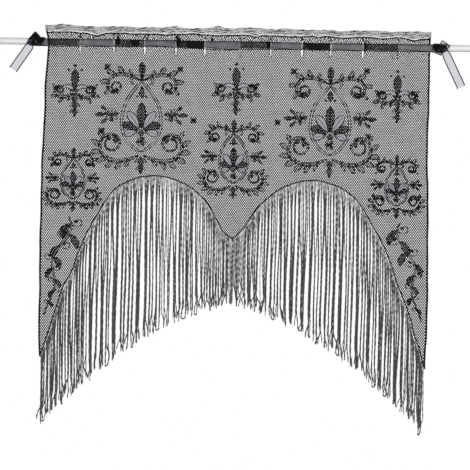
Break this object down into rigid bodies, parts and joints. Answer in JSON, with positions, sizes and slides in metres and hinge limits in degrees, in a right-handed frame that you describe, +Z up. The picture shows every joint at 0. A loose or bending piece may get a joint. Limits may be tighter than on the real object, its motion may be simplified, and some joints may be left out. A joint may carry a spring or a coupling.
{
  "type": "lace door curtain with fringe on its rod",
  "caption": "Black net lace door curtain with a scalloped lower edge and long yarn fringe, hung on a plain round rod that runs through slits in it beside a tied sheer ribbon.",
  "frame": {"origin": "on the rod's axis, midway along the rod, which is the middle of the curtain's width", "axes": "+X along the rod to the right as seen from the front, +Y from the front of the curtain to its back, +Z up"},
  "size_m": [1.26, 0.0304, 1.0282],
  "materials": {
    "lace": "black warp-knit net, matte, with denser ornament and a turned hem",
    "fringe_yarn": "soft black twisted yarn, matte",
    "ribbon": "sheer black organza with woven edges, slight sheen",
    "rod": "satin off-white paint on a round tube"
  },
  "bodies": {
    "root": {"panel": "lace", "fringe": "fringe_yarn", "ribbon": "ribbon", "rod": "rod"}
  },
  "joints": []
}
